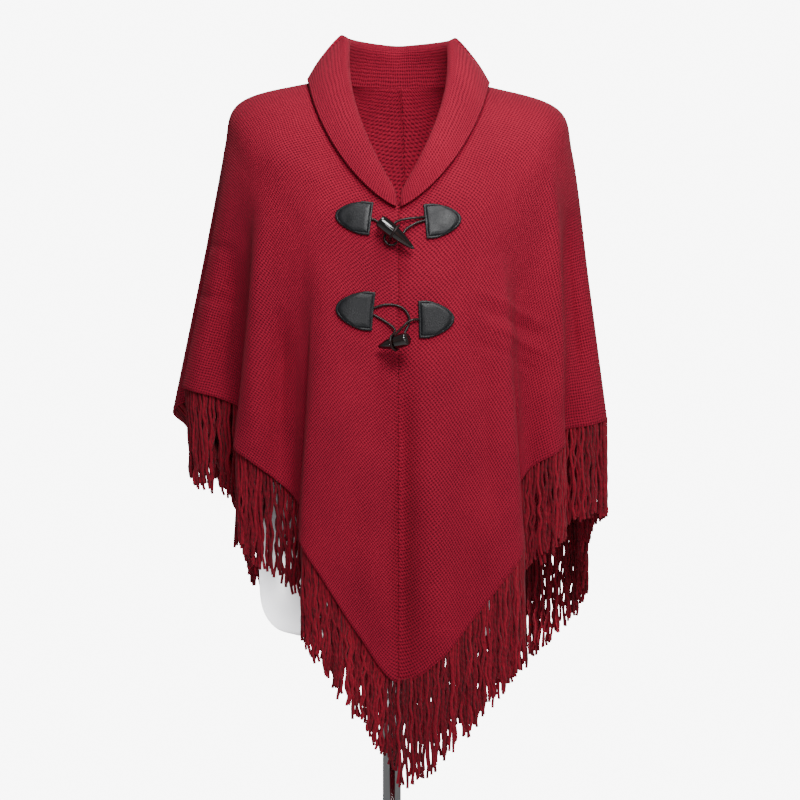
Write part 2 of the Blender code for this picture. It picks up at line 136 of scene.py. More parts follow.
def new_material(name, colour, roughness, **settings):
    """(material, its node tree, its Principled shader), with the shader's own sockets set."""
    made = bpy.data.materials.new(name)
    made.use_nodes = True
    shader = made.node_tree.nodes["Principled BSDF"]
    shader.inputs["Base Color"].default_value = linear(colour)
    shader.inputs["Roughness"].default_value = roughness
    for key, value in settings.items():
        shader.inputs[key.replace("_", " ")].default_value = value
    return made, made.node_tree, shader


# %% [markdown]
# ## Crimson knit
#
# The cloth is a soft acrylic and wool yarn, machine knitted in a tuck stitch. Up close a tuck stitch is a
# lattice of small pits about 3 mm apart, in rows that run along the strip. The pits are in shadow and the
# yarn around them is fuzzy, so the cloth looks matt with a dark fleck. That shade in the pits is painted into
# the cloth's colour, as well as bumped.
#
# The pattern is drawn from a UV map that holds each point's place on the flat strip, in metres. That keeps
# the stitches one size and makes their rows meet the front seam at 45 degrees, as they do on the real strip.
# Two cosine waves added together give the lattice, one along the strip and one across it.

# %% Crimson tuck-stitch knit
PITCH = 0.0031  # metres from one pit to the next


def knit_material(name, light, dark):
    material, tree, shader = new_material(name, light, 0.92)
    place = add_node(tree, "ShaderNodeUVMap", {"uv_map": "knit_metres"})
    wander = add_node(tree, "ShaderNodeTexNoise", Vector=place.outputs[0], Scale=90.0, Detail=1.0)
    wander = add_node(
        tree,
        "ShaderNodeVectorMath",
        {"operation": "SUBTRACT"},
        _0=wander.outputs["Color"],
        _1=(0.5, 0.5, 0.5),
    )
    wander = add_node(
        tree, "ShaderNodeVectorMath", {"operation": "SCALE"}, _0=wander.outputs[0], Scale=0.0024
    )
    place_now = add_node(
        tree, "ShaderNodeVectorMath", {"operation": "ADD"}, _0=place.outputs[0], _1=wander.outputs[0]
    )
    angle = add_node(
        tree, "ShaderNodeVectorMath", {"operation": "SCALE"}, _0=place_now.outputs[0], Scale=math.tau / PITCH
    )
    axes = add_node(tree, "ShaderNodeSeparateXYZ", Vector=angle.outputs[0])
    across = add_node(tree, "ShaderNodeMath", {"operation": "COSINE"}, _0=axes.outputs[0])
    along = add_node(tree, "ShaderNodeMath", {"operation": "COSINE"}, _0=axes.outputs[1])
    lattice = add_node(
        tree, "ShaderNodeMath", {"operation": "ADD"}, _0=across.outputs[0], _1=along.outputs[0]
    )
    pits = add_node(
        tree, "ShaderNodeMapRange", {
            "interpolation_type": "SMOOTHSTEP"
        }, _0=lattice.outputs[0], _1=-0.8, _2=1.9
    )
    fuzz = add_node(tree, "ShaderNodeTexNoise", Vector=place.outputs[0], Scale=650.0, Detail=3.0)
    cloudy = add_node(tree, "ShaderNodeTexNoise", Vector=place.outputs[0], Scale=16.0, Detail=2.0)
    tone = add_node(
        tree, "ShaderNodeMath", {"operation": "MULTIPLY_ADD"}, _0=cloudy.outputs[0], _1=0.30, _2=-0.15
    )
    tone = add_node(
        tree, "ShaderNodeMath", {"operation": "MULTIPLY_ADD"}, _0=fuzz.outputs[0], _1=0.46, _2=tone.outputs[0]
    )
    # Painted shade: the colour darkens in the pits, where shade falls, on top of the yarn's own uneven tone
    # from the fuzz and cloud noise.
    pit_shade_and_tone = add_node(
        tree,
        "ShaderNodeMath",
        {"operation": "MULTIPLY_ADD", "use_clamp": True},
        _0=pits.outputs[0],
        _1=0.62,
        _2=tone.outputs[0],
    )
    colour = add_node(
        tree, "ShaderNodeMix", {"data_type": "RGBA"}, _0=pit_shade_and_tone.outputs[0], _6=linear(light), _7=linear(dark)
    )
    height = add_node(
        tree, "ShaderNodeMath", {"operation": "MULTIPLY_ADD"}, _0=fuzz.outputs[0], _1=0.35, _2=0.0
    )
    height = add_node(
        tree, "ShaderNodeMath", {"operation": "SUBTRACT"}, _0=height.outputs[0], _1=pits.outputs[0]
    )
    bump = add_node(tree, "ShaderNodeBump", Strength=0.7, Distance=0.0009, Height=height.outputs[0])
    tree.links.new(colour.outputs[2], shader.inputs["Base Color"])
    tree.links.new(bump.outputs[0], shader.inputs["Normal"])
    shader.inputs["Sheen Weight"].default_value = 0.18
    shader.inputs["Sheen Roughness"].default_value = 0.45
    shader.inputs["Sheen Tint"].default_value = linear("d86a78")
    shader.inputs["Specular IOR Level"].default_value = 0.18
    return material


# 4a0719 is the painted shade in the pits, and the darkest fibres.
knit = knit_material("crimson_tuck_stitch_knit", "ac1d38", "4a0719")
print("pits are", PITCH * 1000, "mm apart")

# %% [markdown]
# ## Fringe yarn
#
# The fringe is the same yarn, plied and left loose. Its twist shows as slanting bands about 8 mm apart, and
# each strand has taken the dye a little differently. The Random Per Island value of the Geometry node gives
# every strand its own shade, although all of them are one mesh.

# %% Crimson plied yarn
yarn, tree, shader = new_material("crimson_plied_yarn", "b3152c", 0.9, Sheen_Weight=0.08, Sheen_Roughness=0.5)
place = add_node(tree, "ShaderNodeNewGeometry")
shift = add_node(tree, "ShaderNodeVectorMath", {"operation": "ADD"}, _0=place.outputs["Position"])
tree.links.new(place.outputs["Random Per Island"], shift.inputs[1])
twist = add_node(
    tree,
    "ShaderNodeTexWave",
    {"bands_direction": "DIAGONAL"},
    Vector=shift.outputs[0],
    Scale=75.0,
    Distortion=3.5,
    Detail=1.0,
)
shade = add_node(
    tree,
    "ShaderNodeMath",
    {"operation": "MULTIPLY_ADD"},
    _0=place.outputs["Random Per Island"],
    _1=0.50,
    _2=0.10,
)
shade = add_node(
    tree,
    "ShaderNodeMath",
    {"operation": "MULTIPLY_ADD", "use_clamp": True},
    _0=twist.outputs["Fac"],
    _1=0.20,
    _2=shade.outputs[0],
)
colour = add_node(
    tree,
    "ShaderNodeMix",
    {"data_type": "RGBA"},
    _0=shade.outputs[0],
    _6=linear("a2182f"),
    _7=linear("3a0610"),
)
tree.links.new(colour.outputs[2], shader.inputs["Base Color"])
bump = add_node(tree, "ShaderNodeBump", Strength=0.4, Distance=0.0004, Height=twist.outputs["Fac"])
tree.links.new(bump.outputs[0], shader.inputs["Normal"])
shader.inputs["Specular IOR Level"].default_value = 0.2

# %% [markdown]
# ## Leather, horn, fibreglass and chrome
#
# The tabs are bridle leather: vegetable tanned, dyed black-brown and waxed, so it has a fine pebble and a
# broad soft shine. The laces are round-cut thong of the same leather. The toggles are buffalo horn, cut,
# tapered and buffed on a wheel: nearly black, with faint brown streaks along them and a sharp highlight.
# The dress form is moulded fibreglass with a white gel coat, and its stand is chrome-plated steel.


# %% Leather, horn, fibreglass and chrome
def leather_material(name, colour, worn, roughness, pebble=0.0011):
    material, tree, shader = new_material(name, colour, roughness, IOR=1.5, Specular_IOR_Level=0.3)
    place = add_node(tree, "ShaderNodeNewGeometry")
    grain = add_node(
        tree, "ShaderNodeTexVoronoi", {"feature": "F1"}, Vector=place.outputs["Position"], Scale=1 / pebble
    )
    rub = add_node(tree, "ShaderNodeTexNoise", Vector=place.outputs["Position"], Scale=70.0, Detail=4.0)
    mixed = add_node(
        tree, "ShaderNodeMix", {"data_type": "RGBA"}, _0=rub.outputs[0], _6=linear(colour), _7=linear(worn)
    )
    rough = add_node(
        tree,
        "ShaderNodeMapRange",
        _0=rub.outputs[0],
        _1=0.3,
        _2=0.75,
        _3=roughness - 0.08,
        _4=roughness + 0.12,
    )
    bump = add_node(tree, "ShaderNodeBump", Strength=0.22, Distance=0.0003, Height=grain.outputs["Distance"])
    tree.links.new(mixed.outputs[2], shader.inputs["Base Color"])
    tree.links.new(rough.outputs[0], shader.inputs["Roughness"])
    tree.links.new(bump.outputs[0], shader.inputs["Normal"])
    return material


bridle_leather = leather_material("waxed_bridle_leather", "0d0e11", "1a1b1f", 0.40)
lace_leather = leather_material("round_leather_thong", "140c0b", "302020", 0.30, pebble=0.0008)

horn, tree, shader = new_material(
    "buffed_dark_horn", "120b0a", 0.13, IOR=1.56, Coat_Weight=0.5, Coat_Roughness=0.06
)
place = add_node(tree, "ShaderNodeTexCoord")
stretched = add_node(tree, "ShaderNodeMapping", Vector=place.outputs["Object"], Scale=(320.0, 320.0, 26.0))
streaks = add_node(tree, "ShaderNodeTexNoise", Vector=stretched.outputs[0], Scale=1.0, Detail=3.0)
streaks = add_node(tree, "ShaderNodeMapRange", _0=streaks.outputs[0], _1=0.45, _2=0.72)
colour = add_node(
    tree,
    "ShaderNodeMix",
    {"data_type": "RGBA"},
    _0=streaks.outputs[0],
    _6=linear("090506"),
    _7=linear("25120e"),
)
tree.links.new(colour.outputs[2], shader.inputs["Base Color"])

fibreglass, tree, shader = new_material("white_gel_coat_fibreglass", "f6f5f9", 0.34, IOR=1.5)
place = add_node(tree, "ShaderNodeNewGeometry")
ripple = add_node(tree, "ShaderNodeTexNoise", Vector=place.outputs["Position"], Scale=26.0, Detail=2.0)
bump = add_node(tree, "ShaderNodeBump", Strength=0.08, Distance=0.002, Height=ripple.outputs[0])
rough = add_node(tree, "ShaderNodeMapRange", _0=ripple.outputs[0], _1=0.3, _2=0.7, _3=0.28, _4=0.42)
tree.links.new(bump.outputs[0], shader.inputs["Normal"])
tree.links.new(rough.outputs[0], shader.inputs["Roughness"])

chrome, tree, shader = new_material("chrome_plated_steel", "d9dadc", 0.10, Metallic=1.0)
place = add_node(tree, "ShaderNodeNewGeometry")
wear = add_node(tree, "ShaderNodeTexNoise", Vector=place.outputs["Position"], Scale=45.0, Detail=5.0)
rough = add_node(tree, "ShaderNodeMapRange", _0=wear.outputs[0], _1=0.35, _2=0.8, _3=0.06, _4=0.2)
tree.links.new(rough.outputs[0], shader.inputs["Roughness"])
print("materials:", [m.name for m in bpy.data.materials if m.use_nodes][-7:])

# %% [markdown]
# ## Smooth curves
#
# Cloth hangs in curves that pass through a few known places: the neck seam, the shoulder, the hem. A
# centripetal Catmull-Rom curve goes through its points without overshooting, even where they crowd together
# in a fold, so it suits both the hem's line and the fall of the cloth.

# %% Curves through points
KNIT = 0.0026  # thickness of the knitted cloth
CLOTH_X = 0.008  # the poncho hangs this far to the wearer's left of the form's axis


def through(a, b, c, d, t):
    """A point between b and c, t from 0 to 1, on the centripetal Catmull-Rom curve through a, b, c, d."""
    spans = [max((q - p).length, 1e-6) ** 0.5 for p, q in ((a, b), (b, c), (c, d))]
    t0, t1 = 0.0, spans[0]
    t2, t3 = t1 + spans[1], t1 + spans[1] + spans[2]
    at = t1 + t * (t2 - t1)
    ab = a.lerp(b, (at - t0) / (t1 - t0))
    bc = b.lerp(c, (at - t1) / (t2 - t1))
    cd = c.lerp(d, (at - t2) / (t3 - t2))
    abc = ab.lerp(bc, (at - t0) / (t2 - t0))
    bcd = bc.lerp(cd, (at - t1) / (t3 - t1))
    return abc.lerp(bcd, (at - t1) / (t2 - t1))


def open_curve(points, share):
    """The point at share, 0 to 1, of the smooth curve through the points, by number of points."""
    ends = [points[0] * 2 - points[1], *points, points[-1] * 2 - points[-2]]
    at = min(share, 1.0) * (len(points) - 1)
    i = min(int(at), len(points) - 2)
    return through(*ends[i : i + 4], at - i)


# %% [markdown]
# ## The drape
#
# The hem's line is what gives this garment its character: level at the sides, falling to a point in front
# and behind, and folding back on itself where spare cloth gathers. The table gives it once round from the
# centre front. The first number of each row is the angle at which that stretch of cloth leaves the
# shoulders, and the others are the hem's x, y and z in metres. Where the line nearly doubles back, a fold
# hangs above it.

# %% The line of the hem
HEM = (
    (0, 0.000, -0.166, 0.643),
    (9, 0.045, -0.176, 0.668),
    (18, 0.085, -0.174, 0.716),
    (25, 0.118, -0.172, 0.757),
    (30, 0.139, -0.160, 0.784),
    (33, 0.143, -0.140, 0.806),
    (36, 0.133, -0.118, 0.832),
    (40, 0.134, -0.099, 0.858),
    (45, 0.152, -0.094, 0.884),
    (53, 0.180, -0.096, 0.900),
    (59, 0.1935, -0.083, 0.911),
    (64, 0.193, -0.062, 0.918),
    (69, 0.186, -0.044, 0.924),
    (74, 0.198, -0.029, 0.929),
    (80, 0.228, -0.026, 0.934),
    (86, 0.247, -0.010, 0.939),
    (93, 0.249, 0.016, 0.935),
    (99, 0.236, 0.040, 0.916),
    (105, 0.229, 0.066, 0.884),
    (113, 0.233, 0.094, 0.846),
    (121, 0.223, 0.120, 0.816),
    (129, 0.200, 0.118, 0.790),
    (137, 0.172, 0.128, 0.762),
    (147, 0.142, 0.158, 0.726),
    (158, 0.102, 0.166, 0.694),
    (168, 0.066, 0.152, 0.666),
    (178, 0.026, 0.160, 0.645),
    (188, -0.012, 0.176, 0.676),
    (198, -0.050, 0.176, 0.712),
    (208, -0.084, 0.158, 0.744),
    (218, -0.116, 0.150, 0.780),
    (228, -0.150, 0.168, 0.812),
    (237, -0.188, 0.160, 0.846),
    (244, -0.206, 0.132, 0.872),
    (251, -0.228, 0.114, 0.898),
    (257, -0.258, 0.108, 0.928),
    (262, -0.277, 0.088, 0.946),
    (267, -0.270, 0.062, 0.958),
    (272, -0.246, 0.048, 0.966),
    (277, -0.240, 0.028, 0.974),
    (282, -0.252, 0.008, 0.979),
    (287, -0.2575, -0.016, 0.979),
    (292, -0.242, -0.038, 0.974),
    (298, -0.212, -0.042, 0.966),
    (303, -0.186, -0.048, 0.955),
    (306, -0.178, -0.062, 0.940),
    (309, -0.187, -0.080, 0.922),
    (313, -0.190, -0.100, 0.908),
    (319, -0.172, -0.114, 0.894),
    (325, -0.142, -0.110, 0.872),
    (329, -0.118, -0.108, 0.850),
    (331, -0.106, -0.124, 0.831),
    (334, -0.112, -0.146, 0.816),
    (338, -0.110, -0.167, 0.800),
    (344, -0.086, -0.177, 0.762),
    (352, -0.045, -0.172, 0.698),
)
BACK_SEAM = 26
TUCK_PLACE = 36.0  # place of the side corner where the fringe lies tucked under


def hem_at(place):
    """(angle in degrees, point) of the hem at a place in HEM, which goes round and round."""
    i = math.floor(place)
    around = [HEM[(i + k) % len(HEM)] for k in (-1, 0, 1, 2)]
    turns = [(i + k) // len(HEM) * 360 for k in (-1, 0, 1, 2)]
    angles = [Vector((row[0] + turn, 0, 0)) for row, turn in zip(around, turns)]
    t = place - i
    return through(*angles, t).x, through(*(Vector(row[1:]) for row in around), t)


# %% Shoulders, neck and the fall of the cloth
# half width, reach to the front and back, and height in front, at the side and behind
CREST = {"half": 0.193, "front": -0.137, "back": 0.104, "front_z": 1.172, "side_z": 1.3165, "back_z": 1.285}
YOKE = {"half": 0.207, "front": -0.147, "back": 0.128, "front_z": 1.112, "side_z": 1.268, "back_z": 1.19}


def slope(a):
    """How much lower the wearer's left shoulder lies, at angle a."""
    return 0.007 * max(math.sin(a), 0.0) ** 2


def ring_point(ring, a):
    """A point of a ring that the cloth rests against: the shoulders' crest, or the yoke below it."""
    ahead = math.cos(a) > 0
    end = ring["front_z"] if ahead else ring["back_z"]
    z = end + (ring["side_z"] - end) * math.sin(a) ** 2 - slope(a)
    return Vector((ring["half"] * math.sin(a), abs(math.cos(a)) * ring["front" if ahead else "back"], z))


def neck_point(a):
    """The neck seam: a V in front, round behind."""
    x, level, ahead = 0.088 * math.sin(a), 1.349 - slope(a) * 0.5, abs(math.cos(a))
    if math.cos(a) > 0:
        return Vector((x, 0.004 - 0.132 * ahead**1.3, level - 0.160 * (1 - abs(math.sin(a))) ** 0.9))
    return Vector((x, 0.004 + 0.074 * ahead, level - 0.001 * ahead**2))


def meridian(angle, hem):
    """The line that the cloth follows from the neck seam over the shoulder and down to the hem."""
    a = math.radians(angle)
    yoke = ring_point(YOKE, a)
    bulge = 0.5 + 0.22 * math.cos(a) ** 2
    middle = Vector(
        (yoke.x + (hem.x - yoke.x) * 0.5, yoke.y + (hem.y - yoke.y) * bulge, (yoke.z + hem.z) / 2)
    )
    return [neck_point(a), ring_point(CREST, a), yoke, middle, hem]


# %% [markdown]
# ## Creases
#
# The large folds come from the hem's line. Smaller creases are laid over them as soft troughs and
# ridges: the centre front seam draws in below the bust, short drag lines run out from the bust, and the
# back has similar ones. Each is a line on the cloth with a width and a height, and it moves the cloth along
# its own normal. They fade out at their ends.

# %% Soft creases
# x and z of each end, then the width, the height (less than 0 is a trough), and the side of the garment
CREASES = (
    ((0.0130, 1.000), (0.0120, 0.640), 0.0120, -0.0105, "front"),
    ((0.0100, 1.180), (0.0115, 1.020), 0.0060, -0.0014, "front"),
    ((0.0440, 0.880), (0.0400, 0.690), 0.0190, 0.0050, "front"),
    ((-0.0210, 0.900), (-0.0180, 0.700), 0.0180, 0.0042, "front"),
    ((-0.1020, 1.080), (-0.1010, 0.830), 0.0110, 0.0050, "front"),
    ((-0.1270, 1.060), (-0.1280, 0.880), 0.0110, -0.0095, "front"),
    ((-0.1500, 1.170), (-0.1640, 0.940), 0.0110, 0.0062, "front"),
    ((-0.1860, 1.130), (-0.2050, 0.980), 0.0150, -0.0115, "front"),
    ((0.1230, 1.120), (0.1530, 0.830), 0.0090, 0.0070, "front"),
    ((0.1030, 1.040), (0.1120, 0.830), 0.0170, -0.0080, "front"),
    ((0.1840, 1.240), (0.1980, 0.960), 0.0085, 0.0066, "front"),
    ((0.2120, 1.180), (0.2240, 0.990), 0.0120, -0.0110, "front"),
    ((0.0960, 1.090), (0.1830, 1.050), 0.0042, 0.0021, "front"),
    ((0.0960, 1.072), (0.1800, 1.036), 0.0042, -0.0019, "front"),
    ((0.1050, 1.052), (0.1850, 1.016), 0.0042, 0.0021, "front"),
    ((0.0900, 1.036), (0.1700, 0.996), 0.0046, -0.0015, "front"),
    ((-0.2300, 1.150), (-0.1800, 1.140), 0.0060, -0.0016, "front"),
    ((-0.2360, 1.090), (-0.1860, 1.078), 0.0070, -0.0018, "front"),
    ((-0.1500, 1.255), (-0.0700, 1.215), 0.0150, 0.0020, "front"),
    ((0.0900, 1.240), (0.1600, 1.270), 0.0150, 0.0020, "front"),
    ((0.0120, 1.220), (0.0300, 0.720), 0.0080, -0.0050, "back"),
    ((-0.0900, 1.180), (-0.1000, 0.760), 0.0180, 0.0070, "back"),
    ((-0.0450, 1.060), (-0.0420, 0.740), 0.0160, -0.0076, "back"),
    ((0.0700, 1.120), (0.0820, 0.740), 0.0180, 0.0066, "back"),
    ((0.1200, 1.200), (0.1600, 0.840), 0.0160, -0.0082, "back"),
    ((-0.1550, 1.150), (-0.1900, 0.900), 0.0160, -0.0080, "back"),
    ((0.0300, 1.250), (0.1100, 1.210), 0.0130, 0.0016, "back"),
    ((-0.0200, 1.250), (-0.1000, 1.205), 0.0130, -0.0016, "back"),
)


def crease_heights(points, normals):
    """How far each point of the cloth moves along its normal."""
    heights = np.zeros(len(points))
    flat = points[:, (0, 2)]
    for start, end, width, height, side in CREASES:
        a, along = np.array(start), np.array(end) - np.array(start)
        share = ((flat - a) @ along) / (along @ along)
        off = np.linalg.norm(flat - a - np.clip(share, 0, 1)[:, None] * along, axis=1)
        fade = np.clip(np.minimum(share + 0.15, 1.15 - share) / 0.45, 0, 1)
        faces = np.clip(-normals[:, 1] if side == "front" else normals[:, 1], 0, 0.5) * 2
        heights += height * np.exp(-((off / width) ** 2)) * fade * fade * (3 - 2 * fade) * faces
    return heights


# %% [markdown]
# ## Making cloth
#
# A cloth piece starts as a flat grid. Every vertex is moved to its place on the drape, and the Solidify
# modifier then gives it the knit's thickness. The UV map is made in the same pass: it blends from the neck
# edge of the flat strip to its hem edge, so its units are metres of knitting.


# %% Grid of cloth
def cloth_grid(name, columns, rows, place, flat, finish, thickness=KNIT, creased=False):
    """A mesh object. place(a, b) is the middle of the cloth, and flat(a, b) that point on the flat strip."""
    mesh = bpy.data.meshes.new(name)
    bm = bmesh.new()
    bmesh.ops.create_grid(bm, x_segments=columns, y_segments=rows, size=0.5)
    bm.verts.ensure_lookup_table()
    shares = [(v.co.x + 0.5, v.co.y + 0.5) for v in bm.verts]
    knit_map = bm.loops.layers.uv.new("knit_metres")
    for face in bm.faces:
        for loop in face.loops:
            loop[knit_map].uv = flat(*shares[loop.vert.index])
    for vertex, (a, b) in zip(bm.verts, shares):
        vertex.co = place(a, b)
    bm.to_mesh(mesh)
    bm.free()
    made = add_object(name, mesh)
    if creased:
        points = np.empty(len(mesh.vertices) * 3)
        mesh.vertices.foreach_get("co", points)
        points = points.reshape(-1, 3)
        normals = np.empty(len(mesh.vertices) * 3)
        mesh.vertices.foreach_get("normal", normals)
        normals = normals.reshape(-1, 3)
        normals *= np.sign(np.median(np.sum(normals[:, :2] * (points[:, :2] - (CLOTH_X, 0)), axis=1)))
        heights = crease_heights(points, normals)
        normals[:, 0] *= np.clip([min(a, 1 - a) * columns / 8 for a, _ in shares], 0, 1)
        mesh.vertices.foreach_set("co", (points + normals * heights[:, None]).ravel())
    mesh.materials.append(finish)
    mesh.shade_smooth()
    wall = made.modifiers.new("thickness", "SOLIDIFY")
    wall.thickness, wall.offset = thickness, 0.0
    return made


def adopt(piece, slot, *nodes):
    """The piece stands for these nodes of the measured model and goes with its only body."""
    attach(piece, "root")
    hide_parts(*nodes)
    return piece


# %% [markdown]
# ## The two panels
#
# Each panel runs from the centre front seam, over one shoulder, to the centre back seam. On the flat strip
# the neck edge is much shorter than the hem edge, and the mitred ends make up the difference.
#
# A knitted seam is sewn edge to edge and draws in a little, so a shallow groove runs down it. The columns of
# the grid crowd together there to hold its shape. Solidify would push the two walls through each other in the
# groove, so its result is kept as a mesh, and whatever crosses the seam's plane is pressed back onto it.


# %% Left and right panels
def lengths_along(points):
    """How far along a line each of its points is."""
    found = [0.0]
    for a, b in zip(points, points[1:]):
        found.append(found[-1] + (b - a).length)
    return found


def shaped_mesh(made):
    """A mesh of the object as its modifiers or its bevel shape it."""
    bpy.context.view_layer.update()
    return bpy.data.meshes.new_from_object(made.evaluated_get(bpy.context.evaluated_depsgraph_get()))


STRIP_WIDTH = 0.43  # of the flat strip, from its neck edge to its hem edge
SEAM_GROOVE, SEAM_REACH = 0.0020, 0.0055  # how deep the seam draws in, and how far to each side


def pressed_flat(made, seams, side):
    """The object with its modifiers applied and nothing past its seams. Side is 1 on the wearer's left."""
    mesh = shaped_mesh(made)
    made.modifiers.clear()
    made.data = mesh
    courses = [[open_curve(seam, 1 - i / 80) for i in range(81)] for seam in seams]
    for vertex in mesh.vertices:
        seam = min(courses, key=lambda course: abs(course[40].y - vertex.co.y))
        edge = float(np.interp(vertex.co.z, [p.z for p in seam], [p.x for p in seam])) + CLOTH_X
        if -0.004 < (vertex.co.x - edge) * side < 0.0001:
            vertex.co.x = edge
    return made


def make_panel(name, first, last):
    side = 1 if first == 0 else -1
    near_seam = [0.02, 0.05, 0.09, 0.14]
    inner = [0.2 + (last - first - 0.4) * i / ((last - first) * 8) for i in range((last - first) * 8 + 1)]
    stations = [0.0, *near_seam, *inner, *(last - first - s for s in reversed(near_seam)), last - first]
    columns, rows = len(stations) - 1, 190
    lines = []
    for station in stations:
        angle, hem = hem_at(first + station)
        lines.append(meridian(angle, hem))
    falls = [[open_curve(line, j / rows) for j in range(rows + 1)] for line in lines]
    runs = [lengths_along(fall) for fall in falls]
    neck, hem = lengths_along([fall[0] for fall in falls]), lengths_along([fall[-1] for fall in falls])
    inset = (hem[-1] - neck[-1]) / 2

    def place(a, b):
        i, j = round(a * columns), round(b * rows)
        point = falls[i][j]
        off = (point - falls[0 if a < 0.5 else -1][j]).length
        groove = SEAM_GROOVE * max(0.0, 1 - off / SEAM_REACH) ** 2
        return point + Vector((CLOTH_X, groove if point.y < 0 else -groove, 0))

    def flat(a, b):
        i, j = round(a * columns), round(b * rows)
        down = runs[i][j] / runs[i][-1]
        return ((1 - down) * (inset + neck[i]) + down * hem[i], down * STRIP_WIDTH)

    panel = cloth_grid(name, columns, rows, place, flat, knit, creased=True)
    area = sum(face.area for face in panel.data.polygons)
    pressed_flat(panel, (lines[0], lines[-1]), side)
    print(f"{name}: hem {hem[-1]:.3f} m, neck {neck[-1]:.3f} m, area {area:.3f} m2")
    return adopt(panel, "knit", name), hem[-1], STRIP_WIDTH, area


left_panel, *left_cut = make_panel("panel_left", 0, BACK_SEAM)
right_panel, *right_cut = make_panel("panel_right", BACK_SEAM, len(HEM))
left_panel.name, right_panel.name = "left_panel_knit", "right_panel_knit"

# %% [markdown]
# ## The shawl collar
#
# The collar is one knitted band, sewn to the neck seam by one long edge. It stands up the neck, folds over
# and falls outward, and it narrows to nothing at the foot of the V. Each section across it is a curve
# through seven points: from the seam allowance inside the neck, up the stand, round the fold and down the
# fall.

# %% Shawl collar
STAND = 0.058  # from the neck seam up to the fold, at the side of the neck
REACH = 0.020  # how far the fall's edge lies outside the seam
LIFT = 0.0065  # of that edge off the panels
BAND_WIDTH = 0.115  # of the band laid flat


def collar_section(a):
    """Points across the collar at angle a."""
    neck, crest = neck_point(a), ring_point(CREST, a)
    ahead = math.cos(a) > 0
    aside = abs(math.sin(a)) if ahead else math.sqrt(math.sin(a) ** 2 + 0.01) / math.sqrt(1.01)
    if ahead:
        rise = 0.009 + (STAND - 0.009) * aside**2.0
        reach = 0.009 + (REACH - 0.009) * aside + 0.060 * aside * (1 - aside)
    else:
        rise = 0.050 + (STAND - 0.050) * aside
        reach = REACH + 0.016 * (1 - aside)
    out = Vector((neck.x, neck.y - 0.01, 0)).normalized()
    up = (Vector((0, 0, 0.88)) - out * 0.47 * aside**0.5 * (1 if ahead else 0.8)).normalized()
    roll = min(0.0055, 0.36 * rise)
    normal = (crest - neck).cross(neck_point(a + 0.01) - neck_point(a - 0.01)).normalized()
    normal = normal if normal.z > 0 else -normal
    edge = neck + (crest - neck).normalized() * reach + normal * LIFT
    top = neck + up * rise
    return [
        neck + out * 0.0006 - Vector((0, 0, 0.001)),
        neck + up * rise * 0.5 - out * roll * 0.4,
        top - Vector((0, 0, roll)) - out * roll * 0.3,
        top + out * roll * 0.5,
        top + out * roll * 1.5 - Vector((0, 0, roll * 0.7)),
        top.lerp(edge, 0.62) + (out + normal).normalized() * roll * 0.7,
        edge,
    ]


def make_collar():
    columns, open_at_front = 240, math.radians(2.2)
    angles = [open_at_front + (2 * math.pi - 2 * open_at_front) * i / columns for i in range(columns + 1)]
    sections = [collar_section(a) for a in angles]
    around = lengths_along([neck_point(a) for a in angles])

    def place(a, b):
        return open_curve(sections[round(a * columns)], b) + Vector((CLOTH_X, 0, 0))

    made = cloth_grid(
        "shawl_collar_knit",
        columns,
        60,
        place,
        lambda a,
        b: (around[round(a * columns)], b * BAND_WIDTH),
        knit,
    )
    area = sum(face.area for face in made.data.polygons)
    print(f"collar: seam {around[-1]:.3f} m, area {area:.4f} m2")
    return adopt(made, "knit", "collar"), around[-1], area


collar, collar_length, collar_area = make_collar()

# %% [markdown]
# ## The fringe
#
# A fringe of loose yarn is hundreds of nearly equal strands. Each strand here is one spline of a curve
# object, so Blender's bevel gives it its round section, and the whole fringe becomes a single mesh. A strand
# starts inside the hem, falls straight with a slight wave, and curls a little at its cut end. Neighbours
# cling together in locks, so part of each strand's sideways drift is shared with the strands beside it.

# %% Fringe strands
FRINGE_LENGTH = 0.122
YARN_RADIUS = 0.0017
LOCK = 3  # strands that cling together


def tuck(place):
    """How far the fringe is tucked under, 0 to 1: it is fully so at the right side corner of the hem."""
    return math.exp(-(((place - TUCK_PLACE) / (2.4 if place < TUCK_PLACE else 3.3)) ** 2))


def fall_line(place):
    """Which way the fringe hangs."""
    return Vector((0.66 * tuck(place), -0.36 * tuck(place), -1 + 0.30 * tuck(place))).normalized()


def worn(place):
    """How long the fringe is at a place: shorter right beside the front point, fuller on the left front."""
    beside_point = math.exp(-(((place - (len(HEM) - 0.9)) / 1.2) ** 2))
    left_front = math.exp(-(((place - 4.0) / 4.0) ** 2))
    return 1 - 0.20 * beside_point + 0.06 * left_front


def strand_points(place, behind, drift, knots=25):
    """Points down one strand that leaves the hem at that place. It hangs straighter near the front point."""
    steady = min(1.0, 0.15 + min(place, len(HEM) - place) / 1.5)
    _, hem = hem_at(place)
    _, ahead = hem_at(place + 0.02)
    along = (ahead - hem).normalized()
    level = Vector((along.x, along.y, 0)).normalized()
    inward = Vector((-level.y, level.x, 0))
    length = FRINGE_LENGTH * worn(place) * random.uniform(0.88, 0.995)
    phase, waves, sway = random.uniform(0, math.tau), random.uniform(1.8, 3.6), random.gauss(0, 0.0028)
    root = hem + Vector((CLOTH_X, 0, 0.005)) + inward * behind
    points = []
    for i in range(knots):
        s = i / (knots - 1)
        wave = math.sin(phase + waves * math.tau * s + math.sin(phase * 3 + 9 * s)) * 0.0014 * min(1.0, 4 * s)
        swing = (drift + sway) * steady * s**1.4
        ripple = math.cos(phase * 1.7 + waves * 5.1 * s) * 0.0012 * s
        points.append(root + fall_line(place) * (length * s) + level * (wave + swing) + inward * ripple)
    return points


